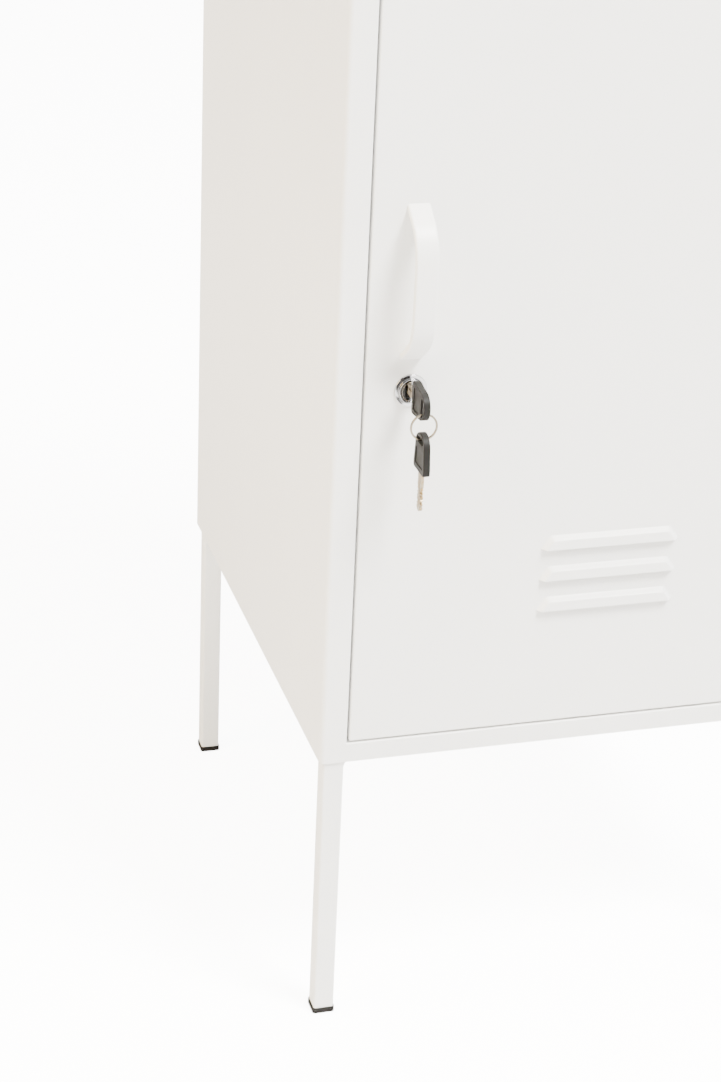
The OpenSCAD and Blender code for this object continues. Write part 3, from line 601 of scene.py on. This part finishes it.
# %% The blank as an object
blank_bm.normal_update()
corner_verts = [v for v in blank_bm.verts if v[u_layer] > 0.9]
bmesh.ops.remove_doubles(blank_bm, verts=[
    v for v in corner_verts
    if min(abs(v.co.x - DOOR_LOW.x), abs(v.co.x - DOOR_HIGH.x)) < 2 * MM
    and min(abs(v.co.z - DOOR_LOW.z), abs(v.co.z - DOOR_HIGH.z)) < 2 * MM], dist=1e-6)
front_faces = [f for f in blank_bm.faces
               if abs(f.normal.y) > 0.99 and f.calc_center_median().y < FRONT + MM]
if sum(f.normal.y for f in front_faces) > 0:
    bmesh.ops.reverse_faces(blank_bm, faces=blank_bm.faces)
blank_mesh = bpy.data.meshes.new("door_blank")
blank_bm.to_mesh(blank_mesh)
blank_bm.free()
door = link("door_blank", blank_mesh)
print("front faces", len(front_faces))

# %% [markdown]
# ## Pressing the louvres
# The rule reads two attributes of the blank: how far a point is along its louvre, and how far up
# from the slit. From them come three distances, to the top edge and to the two slanted ends. A
# smooth minimum joins the three into one distance with rounded corners, and a soft step turns the
# distance into height. The tree's inputs are real sizes, set by each socket's identifier.

# %% The press as Geometry Nodes
def geometry_tree(name, inputs):
    """A Geometry Nodes tree with named inputs. Returns the tree, its graph and its values."""
    tree = bpy.data.node_groups.new(name, "GeometryNodeTree")
    tree.interface.new_socket("Geometry", in_out="INPUT", socket_type="NodeSocketGeometry")
    for label, kind in inputs:
        tree.interface.new_socket(label, in_out="INPUT", socket_type=kind)
    tree.interface.new_socket("Geometry", in_out="OUTPUT", socket_type="NodeSocketGeometry")
    graph = Graph(tree)
    start = tree.nodes.new("NodeGroupInput")
    return tree, graph, [Value(graph, socket) for socket in start.outputs]


def end_tree(graph, geometry, material):
    whole = graph.node("GeometryNodeRealizeInstances", None, {"Geometry": geometry})
    painted = graph.node("GeometryNodeSetMaterial", None, {"Geometry": whole, "Material": material})
    graph.node("NodeGroupOutput", None, {"Geometry": painted})


def run_tree(obj, tree, values):
    """Adds the tree to an object, sets its inputs by identifier and returns the plain mesh."""
    modifier = obj.modifiers.new(tree.name, "NODES")
    modifier.node_group = tree
    for item in tree.interface.items_tree:
        if item.in_out == "INPUT" and item.name in values:
            modifier[item.identifier] = values[item.name]
    mesh = plain(obj)
    print(tree.name, "made", len(mesh.polygons), "faces")
    return mesh


def read_attribute(graph, name):
    return graph.node("GeometryNodeInputNamedAttribute", {"data_type": "FLOAT"}, {"Name": name})


LOUVRE_BEND = 3.2 * MM
ENDS_BLEND = 2 * MM
CORNER_BLEND = 2.2 * MM
press, g, (blank_in, out_in, length_in, height_in, taper_in, bend_in, paint_in, _) = geometry_tree(
    "louvre_press", [("Out", "NodeSocketFloat"), ("Length", "NodeSocketFloat"),
                     ("Height", "NodeSocketFloat"), ("Taper", "NodeSocketFloat"),
                     ("Bend", "NodeSocketFloat"), ("Paint", "NodeSocketMaterial")])
u = read_attribute(g, "louvre_u")
v = read_attribute(g, "louvre_v")
edge_length = (height_in * height_in + taper_in * taper_in) ** 0.5
to_top = height_in - v
to_left = ((u + length_in * 0.5) * height_in - v * taper_in) / edge_length
to_right = ((length_in * 0.5 - u) * height_in - v * taper_in) / edge_length
to_end = u.math("SMOOTH_MIN", to_left, to_right, ENDS_BLEND)
inside = u.math("SMOOTH_MIN", to_top, to_end, CORNER_BLEND)
step = (inside / bend_in).clamped()
lift = out_in * step * step * (3.0 - 2.0 * step)
push = g.node("ShaderNodeCombineXYZ", None, {"Y": lift * -1.0})
pressed = g.node("GeometryNodeSetPosition", None, {"Geometry": blank_in, "Offset": push})
end_tree(g, pressed, paint_in)
door_mesh = run_tree(door, press, {"Out": LOUVRE["out"], "Length": LOUVRE["length"],
                                   "Height": LOUVRE["height"], "Taper": LOUVRE["taper"],
                                   "Bend": LOUVRE_BEND, "Paint": POWDER_COAT})

# %% [markdown]
# ## The door's thickness and holes
# The pressed surface is the outside of the sheet. Solidify grows it inwards by the sheet's
# thickness. Round cutters then punch the holes for the lock, the handle's screws and the two
# bushes. Each cutter is its own short cylinder, and a Boolean modifier takes it away.

# %% Solidify and punch
def round_bar(start, end, radius, sides=48):
    """A closed cylinder between two points, for cutting or joining."""
    bm = bmesh.new()
    axis = end - start
    turn = axis.to_track_quat("Z", "Y").to_matrix().to_4x4()
    turn.translation = (start + end) / 2
    bmesh.ops.create_cone(bm, cap_ends=True, segments=sides, radius1=radius, radius2=radius,
                          depth=axis.length, matrix=turn)
    mesh = bpy.data.meshes.new("bar")
    bm.to_mesh(mesh)
    bm.free()
    return link("bar", mesh)


def combined(mesh, other, operation):
    """The mesh after a Boolean with another object, which is then removed."""
    obj = link("work", mesh)
    step = obj.modifiers.new("join", "BOOLEAN")
    step.operation = operation
    step.solver = "EXACT"
    step.object = other
    result = plain(obj)
    bpy.data.objects.remove(other)
    return result


door = link("door_work", door_mesh)
wall = door.modifiers.new("sheet", "SOLIDIFY")
wall.thickness = SHEET
wall.offset = -1
wall.use_even_offset = True
door_mesh = plain(door)
HANDLE_LOW, HANDLE_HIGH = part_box("handle")
HANDLE_X = (HANDLE_LOW.x + HANDLE_HIGH.x) / 2
SCREW_IN = 7.5 * MM
SCREW_Z = [HANDLE_LOW.z + SCREW_IN, HANDLE_HIGH.z - SCREW_IN]
LOCK_HOLE_R = 9.35 * MM
SCREW_HOLE_R = 2.2 * MM
BUSH_HOLE_R = 4.0 * MM
back = Vector((0, 4 * MM, 0))
punches = [(Vector((LOCK_AXIS.x, FRONT, LOCK_AXIS.z)), back, LOCK_HOLE_R)]
punches += [(Vector((HANDLE_X, FRONT, at)), back, SCREW_HOLE_R) for at in SCREW_Z]
for bush_node in ("upper_hinge_bush", "lower_hinge_bush"):
    low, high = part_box(bush_node)
    edge_z = DOOR_HIGH.z if bush_node.startswith("upper") else DOOR_LOW.z
    pin = Vector(((low.x + high.x) / 2, (low.y + high.y) / 2, edge_z))
    punches.append((pin, Vector((0, 0, 3 * MM)), BUSH_HOLE_R))
for middle, reach, radius_m in punches:
    punch = round_bar(middle - reach, middle + reach, radius_m)
    door_mesh = combined(door_mesh, punch, "DIFFERENCE")
smooth_by_angle(door_mesh, 40)
door_skin = shown("door_skin_pressed", door_mesh, "door", "painted_steel", ["door_skin"])
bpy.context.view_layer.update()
softened("door_stiffener")

# %% [markdown]
# ## The handle: a strap along a path
# The handle is a flat strap, bent twice, with its grip bowed slightly outwards. Its shape is a
# path and a section, so a Geometry Nodes sweep makes it: the path comes in as a curve, and the
# tree draws a rounded strap section along it. The path runs a little way through the door's face,
# and the ends are then cut flush with it.

# %% The strap's path
STRAP = 4.1 * MM
STRAP_WIDTH = HANDLE_HIGH.x - HANDLE_LOW.x
GRIP_OUT = FRONT - HANDLE_LOW.y
BOW = 2.5 * MM
SLANT = 16 * MM
STRAP_ROUND = 13 * MM
PAST_FACE = 3 * MM
lean = math.atan2(SLANT, GRIP_OUT - BOW)


def rounded_corner(before, corner, after, size, steps=10):
    """Points of an arc that rounds a corner, a given distance back along both sides."""
    a = corner + (before - corner).normalized() * size
    b = corner + (after - corner).normalized() * size
    return [(1 - t) ** 2 * a + 2 * t * (1 - t) * corner + t * t * b
            for t in [i / steps for i in range(steps + 1)]]


def strap_path():
    """The middle of the strap from its lower end to its upper end, in (depth, height)."""
    inset = STRAP / 2
    reach = GRIP_OUT - BOW - inset
    chord = (HANDLE_HIGH.z - HANDLE_LOW.z) / 2 - SLANT
    foot_z = inset / math.cos(lean)
    foot = Vector((PAST_FACE, foot_z - PAST_FACE * math.tan(lean)))
    bend = Vector((-reach, foot_z + reach * math.tan(lean)))
    length = HANDLE_HIGH.z - HANDLE_LOW.z
    far_bend, far_foot = Vector((bend.x, length - bend.y)), Vector((foot.x, length - foot.y))
    bow_r = (chord ** 2 + BOW ** 2) / (2 * BOW)
    grip = []
    for i in range(1, 24):
        z = bend.y + (far_bend.y - bend.y) * i / 24
        rise = math.sqrt(bow_r ** 2 - (z - length / 2) ** 2) - (bow_r - BOW)
        grip.append(Vector((-reach - max(0.0, rise), z)))
    start = rounded_corner(foot, bend, grip[4], STRAP_ROUND)
    end = rounded_corner(grip[-5], far_bend, far_foot, STRAP_ROUND)
    inner = [p for p in grip if start[-1].y + MM < p.y < end[0].y - MM]
    return [foot] + start + inner + end + [far_foot]


path = [Vector((HANDLE_X, FRONT + p.x, HANDLE_LOW.z + p.y)) for p in strap_path()]
path_curve = bpy.data.curves.new("strap_path", "CURVE")
path_curve.dimensions = "3D"
spline = path_curve.splines.new("POLY")
spline.points.add(len(path) - 1)
for point, at in zip(spline.points, path):
    point.co = (*at, 1)
strap_obj = bpy.data.objects.new("strap_path", path_curve)
bpy.context.scene.collection.objects.link(strap_obj)
print("strap path has", len(path), "points")

# %% Sweep the strap
sweep, g, (path_in, width_in, thick_in, round_in, paint_in, _) = geometry_tree(
    "strap_sweep", [("Width", "NodeSocketFloat"), ("Thickness", "NodeSocketFloat"),
                    ("Edge", "NodeSocketFloat"), ("Paint", "NodeSocketMaterial")])
even = g.node("GeometryNodeResampleCurve", {"mode": "LENGTH"},
              {"Curve": path_in, "Length": 1.1 * MM})
section = g.node("GeometryNodeCurvePrimitiveQuadrilateral", {"mode": "RECTANGLE"},
                 {"Width": width_in, "Height": thick_in})
section = g.node("GeometryNodeFilletCurve", {"mode": "POLY"},
                 {"Curve": section, "Count": 6, "Radius": round_in})
strap = g.node("GeometryNodeCurveToMesh", None,
               {"Curve": even, "Profile Curve": section, "Fill Caps": True})
end_tree(g, strap, paint_in)
strap_mesh = run_tree(strap_obj, sweep, {"Width": STRAP_WIDTH, "Thickness": STRAP, "Edge": 1.5 * MM,
                                         "Paint": POWDER_COAT})
bm = bmesh.new()
bm.from_mesh(strap_mesh)
bmesh.ops.remove_doubles(bm, verts=bm.verts, dist=1e-7)
bmesh.ops.bisect_plane(bm, geom=bm.verts[:] + bm.edges[:] + bm.faces[:], dist=1e-7,
                       plane_co=(0, FRONT, 0), plane_no=(0, 1, 0), clear_outer=True)
bmesh.ops.holes_fill(bm, edges=[e for e in bm.edges if e.is_boundary], sides=0)
bmesh.ops.recalc_face_normals(bm, faces=bm.faces)
bm.to_mesh(strap_mesh)
print("strap box", [round(min(v.co[i] for v in bm.verts), 4) for i in range(3)],
      [round(max(v.co[i] for v in bm.verts), 4) for i in range(3)], "open edges",
      sum(e.is_boundary for e in bm.edges))
bm.free()

# %% [markdown]
# A boss behind each end of the strap takes its screw. The bosses are joined to the strap with a
# Boolean, so that the handle is one closed piece with no hidden walls inside. Each boss is first
# cut off under the strap's outer face, or its round end would show through the front.

# %% Screw bosses
BOSS_R = 4 * MM
BOSS_OUT = 14 * MM
UNDER_FACE = 1.2 * MM
for at, up in zip(SCREW_Z, (1, -1)):
    boss = round_bar(Vector((HANDLE_X, FRONT, at)), Vector((HANDLE_X, FRONT - BOSS_OUT, at)),
                     BOSS_R, 32)
    bm = bmesh.new()
    bm.from_mesh(boss.data)
    tilt = Vector((0, -SLANT, -up * (GRIP_OUT - BOW))).normalized()
    end_z = HANDLE_LOW.z if up > 0 else HANDLE_HIGH.z
    under = Vector((0, FRONT, end_z)) - tilt * UNDER_FACE
    bmesh.ops.bisect_plane(bm, geom=bm.verts[:] + bm.edges[:] + bm.faces[:], dist=1e-7,
                           plane_co=under, plane_no=tilt, clear_outer=True)
    bmesh.ops.holes_fill(bm, edges=[e for e in bm.edges if e.is_boundary], sides=0)
    bm.to_mesh(boss.data)
    bm.free()
    strap_mesh = combined(strap_mesh, boss, "UNION")
smooth_by_angle(strap_mesh, 40)
handle = shown("handle_strap", strap_mesh, "door", "painted_steel", ["handle"])
print("handle", len(handle.data.polygons), "faces")

# %% [markdown]
# ## The split ring
# A split ring is flat spring wire wound twice round. Each turn lies flat, and the wire steps from
# one turn to the other in a short crossover. Geometry Nodes winds it: a line of points is bent
# round by its index, and a soft step moves it across at the crossover.

# %% Wind the ring
RING_LOW, RING_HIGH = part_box("key_ring")
RING_MID = (RING_LOW + RING_HIGH) / 2
WIRE = RING_HIGH.y - RING_LOW.y
RING_R = (RING_HIGH.x - RING_LOW.x) / 2 - WIRE / 2
winding, g, (_, ring_r_in, wire_in, centre_in, steel_in, _) = geometry_tree(
    "split_ring", [("Radius", "NodeSocketFloat"), ("Wire", "NodeSocketFloat"),
                   ("Centre", "NodeSocketVector"), ("Steel", "NodeSocketMaterial")])
POINTS = 240
TURNS = 1.985
FIRST_TURN = 0.30
CROSS_START = 1.22
CROSS_LENGTH = 0.14
line = g.node("GeometryNodeMeshLine", {"mode": "OFFSET"}, {"Count": POINTS, "Offset": (0, 0, MM)})
index = g.node("GeometryNodeInputIndex")
turns = index / (POINTS - 1.0) * TURNS + FIRST_TURN
angle = turns * (2 * math.pi)
shift = ((turns - CROSS_START) / CROSS_LENGTH).clamped()
shift = shift * shift * (3.0 - 2.0 * shift) - 0.5
ring_x = angle.math("COSINE", angle) * ring_r_in
ring_z = angle.math("SINE", angle) * ring_r_in
ring_y = shift * wire_in * 0.5
at = g.node("ShaderNodeCombineXYZ", None, {"X": ring_x, "Y": ring_y, "Z": ring_z})
moved = g.node("ShaderNodeVectorMath", {"operation": "ADD"}, {0: at, 1: centre_in})
line = g.node("GeometryNodeSetPosition", None, {"Geometry": line, "Position": moved})
coil = g.node("GeometryNodeMeshToCurve", None, {"Mesh": line})
coil = g.node("GeometryNodeSetCurveNormal", {"mode": "FREE"}, {"Curve": coil, "Normal": (0, 1, 0)})
flat = g.node("GeometryNodeCurvePrimitiveQuadrilateral", {"mode": "RECTANGLE"},
              {"Width": wire_in * 0.485, "Height": wire_in * 0.98})
flat = g.node("GeometryNodeFilletCurve", {"mode": "POLY"},
              {"Curve": flat, "Count": 3, "Radius": wire_in * 0.17})
coil = g.node("GeometryNodeCurveToMesh", None,
              {"Curve": coil, "Profile Curve": flat, "Fill Caps": True})
end_tree(g, coil, steel_in)
ring_mesh = run_tree(link("ring_start", bpy.data.meshes.new("ring_start")), winding,
                     {"Radius": RING_R, "Wire": WIRE, "Centre": RING_MID, "Steel": SPRING_STEEL})
bm = bmesh.new()
bm.from_mesh(ring_mesh)
bmesh.ops.remove_doubles(bm, verts=bm.verts, dist=1e-7)
bmesh.ops.recalc_face_normals(bm, faces=bm.faces)
print("ring box", [round(min(v.co[i] for v in bm.verts) - RING_MID[i], 5) for i in range(3)],
      [round(max(v.co[i] for v in bm.verts) - RING_MID[i], 5) for i in range(3)], "open edges",
      sum(e.is_boundary for e in bm.edges))
bm.to_mesh(ring_mesh)
bm.free()
smooth_by_angle(ring_mesh, 50)
shown("key_ring_coil", ring_mesh, "ring", "ring_steel", ["key_ring"])

# %% [markdown]
# ## The lock and the keys
# The lock's flange is turned and plated, so its edges are rounder than a sheet's. The key heads
# are moulded, with a generous round all along their outline and a small one in the recess. One
# rule gives each edge its width from where it lies.

# %% Lock and keys
softened("lock_barrel", width=0.35 * MM, segments=3)
softened("lock_plug", width=0.25 * MM, segments=3)
for node in ("key_head", "spare_key_head"):
    low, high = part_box(node)
    mid = (low.x + high.x) / 2
    thick = (high.x - low.x) / 2

    def moulded(edge, middle, mid=mid, thick=thick):
        """Wide on the outline's two rims, narrow in the recesses and the slot's walls."""
        a, b = (abs(v.co.x - mid) for v in edge.verts)
        on_rim = min(a, b) > thick - 0.05 * MM
        return 0.55 * MM if on_rim else 0.15 * MM

    softened(node, segments=4, corner=moulded)
for node in ("key_blade", "spare_key_blade"):
    softened(node, width=0.10 * MM)
for node in ("lock_nut", "lock_cam", "cam_screw", "handle_screws"):
    softened(node, width=0.15 * MM)
print("lock and keys softened")

# %% [markdown]
# ## Legs, feet and the inside
# The legs are square tube, the sockets they bolt to are cast with a fillet, and the feet are
# plastic caps. Inside are slotted strips, clips, two shelves and the hinge. They all get the same
# broken edges at widths that suit their material.

# %% Everything else
for corner_name in ("front_left", "front_right", "rear_left", "rear_right"):
    softened(corner_name + "_leg", width=0.10 * MM)
    softened(corner_name + "_leg_socket", width=0.16 * MM, sharp=50)
    softened(corner_name + "_foot_cap", width=0.35 * MM, segments=3)
    softened(corner_name + "_shelf_strip", width=0.10 * MM)
for node in ("lower_shelf", "upper_shelf", "shelf_clips", "leg_inserts", "leg_bolts",
             "upper_hinge_plate", "lower_hinge_plate", "upper_hinge_pin", "lower_hinge_pin",
             "door_bumpers", "upper_hinge_bush", "lower_hinge_bush"):
    softened(node, width=0.12 * MM)
print("all nodes finished")

# %% [markdown]
# ## Floor and light
# A product studio is bright above and dimmer round the walls. The dome does the even part of the
# light, and its dimmer lower band gives chrome something dark to reflect. A softbox high above the
# front grazes the door, so the louvres' upper folds catch it and their lips cast a shadow. A weaker
# warm one on the left keeps the side creamy. The floor is white, and glows only for the camera's
# own rays, so that it looks paler than the paint without lighting the cabinet from below. It
# reaches far past the cabinet, so that a low view still ends on floor.

# %% Stage
FLOOR_REACH = 120
FLOOR_GLOW = 9.0
floor_bm = bmesh.new()
bmesh.ops.create_grid(floor_bm, x_segments=1, y_segments=1, size=FLOOR_REACH)
floor_mesh = bpy.data.meshes.new("studio_floor")
floor_bm.to_mesh(floor_mesh)
floor_bm.free()
floor = link("studio_floor", floor_mesh)
pale = Finish("studio_white")
seen = pale.node("ShaderNodeLightPath")
floor_mesh.materials.append(pale.shade(Base_Color=(0.90, 0.90, 0.90, 1), Roughness=0.9,
                                       Emission_Color=(1, 1, 1, 1),
                                       Emission_Strength=seen * FLOOR_GLOW))
print("floor reaches", FLOOR_REACH, "m")

# %% Dome and lamps
world = bpy.data.worlds.new("studio_dome")
world.use_nodes = True
dome = Graph(world.node_tree)
way = dome.tree.nodes.new("ShaderNodeSeparateXYZ")
dome.tree.links.new(dome.node("ShaderNodeTexCoord", out="Generated").socket, way.inputs[0])
height = Value(dome, way.outputs[2])
above = ((height - 0.05) / 0.6).clamped()
glow = dome.node("ShaderNodeBackground", None, {"Color": (1.0, 0.995, 0.985, 1),
                                                "Strength": 0.42 + above * above * 2.4})
dome.node("ShaderNodeOutputWorld", None, {"Surface": glow})
bpy.context.scene.world = world


def lamp(name, place, target, size, power, colour):
    data = bpy.data.lights.new(name, "AREA")
    data.shape = "RECTANGLE"
    data.size, data.size_y = size
    data.energy = power
    data.color = colour
    obj = bpy.data.objects.new(name, data)
    obj.location = place
    obj.rotation_euler = (Vector(target) - Vector(place)).to_track_quat("-Z", "Y").to_euler()
    bpy.context.scene.collection.objects.link(obj)


lamp("key_softbox", (1.0, -1.7, 3.4), (0, 0, 0.5), (1.2, 1.2), 560, (1.0, 0.995, 0.97))
lamp("side_bounce", (-2.9, -0.6, 1.9), (0, 0, 0.5), (1.6, 1.8), 175, (1.0, 0.72, 0.34))
print("stage set")
